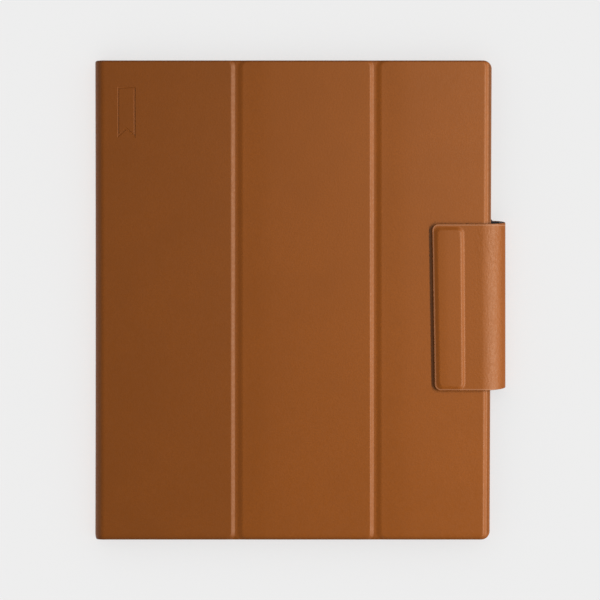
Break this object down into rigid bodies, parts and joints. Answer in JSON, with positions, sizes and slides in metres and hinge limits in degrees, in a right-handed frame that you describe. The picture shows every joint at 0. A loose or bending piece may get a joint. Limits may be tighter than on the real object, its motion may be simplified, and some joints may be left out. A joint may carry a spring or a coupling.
{
  "type": "e-reader in a folding folio",
  "caption": "E-paper reader held in a closed tan leather tri-fold folio with a magnetic strap that wraps the free edge.",
  "frame": {"origin": "middle of the back cover's outer face, on which the closed folio lies", "axes": "+X from the spine to the strap, +Y to the reader's top edge, +Z from the back cover to the front cover"},
  "size_m": [0.1965, 0.229, 0.0138],
  "materials": {
    "tan_leather": "fine pebbled, semi-matte",
    "lining": "black microfibre",
    "board": "grey board",
    "magnet": "nickel plate",
    "sheet_steel": "pressed sheet",
    "dark_plastic": "fine matte",
    "black_plastic": "fine matte",
    "border_ink": "printed ink",
    "glass": "etched anti-glare",
    "clear_acrylic": "polished",
    "epaper": "matte",
    "digitizer": "satin film",
    "magnesium": "cast, satin",
    "battery_foil": "satin foil",
    "circuit_board": "solder mask",
    "copper_flex": "polyimide film"
  },
  "bodies": {
    "back_cover": {"back_skin": "tan_leather", "back_board": "board", "back_lining": "lining", "back_magnet_left": "magnet", "back_magnet_right": "magnet", "strap_tongue": "tan_leather"},
    "reader": {"rear_shell": "dark_plastic", "front_bezel": "black_plastic", "cover_glass": "glass", "printed_border": "border_ink", "front_light_guide": "clear_acrylic", "light_strip": "copper_flex", "epaper_panel": "epaper", "stylus_digitizer": "digitizer", "mid_frame": "magnesium", "battery_left": "battery_foil", "battery_right": "battery_foil", "main_board": "circuit_board", "processor_shield": "sheet_steel", "usb_c_socket": "sheet_steel", "speaker_left": "black_plastic", "speaker_right": "black_plastic", "microphone": "sheet_steel", "power_switch": "sheet_steel", "card_reader": "sheet_steel", "display_flex": "copper_flex", "antenna": "copper_flex", "hall_sensor": "black_plastic", "reader_magnet_left": "magnet", "reader_magnet_right": "magnet", "screw_1": "sheet_steel", "screw_2": "sheet_steel", "screw_3": "sheet_steel", "screw_4": "sheet_steel"},
    "power_button": {"power_button": "dark_plastic"},
    "card_tray": {"card_tray": "dark_plastic"},
    "spine": {"spine_skin": "tan_leather", "spine_board": "board", "spine_lining": "lining"},
    "panel_1": {"panel_1_skin": "tan_leather", "panel_1_board": "board", "panel_1_lining": "lining"},
    "panel_2": {"panel_2_skin": "tan_leather", "panel_2_board": "board", "panel_2_lining": "lining"},
    "panel_3": {"panel_3_skin": "tan_leather", "panel_3_board": "board", "panel_3_lining": "lining", "keeper_plate": "sheet_steel", "sleep_magnet": "magnet"},
    "strap_lower": {"strap_lower_skin": "tan_leather", "strap_lower_lining": "lining"},
    "strap_upper": {"strap_upper_skin": "tan_leather", "strap_upper_lining": "lining"},
    "flap": {"flap_skin": "tan_leather", "flap_lining": "lining", "flap_board": "board", "flap_magnet_1": "magnet", "flap_magnet_2": "magnet", "flap_magnet_3": "magnet"}
  },
  "joints": [
    {"name": "reader_slide", "type": "slide", "parent": "back_cover", "child": "reader", "axis": [0, 1, 0], "range_m": [0, 0.235]},
    {"name": "power_button_press", "type": "slide", "parent": "reader", "child": "power_button", "axis": [0, -1, 0], "range_m": [0, 0.00035], "stiffness_N_per_m": 3000, "springref_m": -0.0002},
    {"name": "card_tray_slide", "type": "slide", "parent": "reader", "child": "card_tray", "axis": [0, 1, 0], "range_m": [0, 0.014]},
    {"name": "spine_hinge", "type": "hinge", "parent": "back_cover", "child": "spine", "pos_m": [-0.09325, 0, 0.00135], "axis": [0, -1, 0], "range_deg": [0, 178]},
    {"name": "cover_hinge", "type": "hinge", "parent": "spine", "child": "panel_1", "pos_m": [-0.09325, 0, 0.00995], "axis": [0, -1, 0], "range_deg": [0, 178]},
    {"name": "fold_1", "type": "hinge", "parent": "panel_1", "child": "panel_2", "pos_m": [-0.0267, 0, 0.0103], "axis": [0, 1, 0], "range_deg": [-127, 0]},
    {"name": "fold_2", "type": "hinge", "parent": "panel_2", "child": "panel_3", "pos_m": [0.0396, 0, 0.0103], "axis": [0, 1, 0], "range_deg": [-122, 0]},
    {"name": "strap_open", "type": "hinge", "parent": "back_cover", "child": "strap_lower", "pos_m": [0.0982, 0, 0.00116], "axis": [0, 1, 0], "range_deg": [0, 44]},
    {"name": "strap_bend", "type": "hinge", "parent": "strap_lower", "child": "strap_upper", "pos_m": [0.1019, 0, 0.0067], "axis": [0, 1, 0], "range_deg": [0, 89]},
    {"name": "flap_bend", "type": "hinge", "parent": "strap_upper", "child": "flap", "pos_m": [0.09755, 0, 0.0114], "axis": [0, 1, 0], "range_deg": [0, 44.5]}
  ],
  "couplings": [
    {"joint": "strap_bend", "follows": "strap_open", "ratio": 2},
    {"joint": "flap_bend", "follows": "strap_open", "ratio": 1}
  ]
}
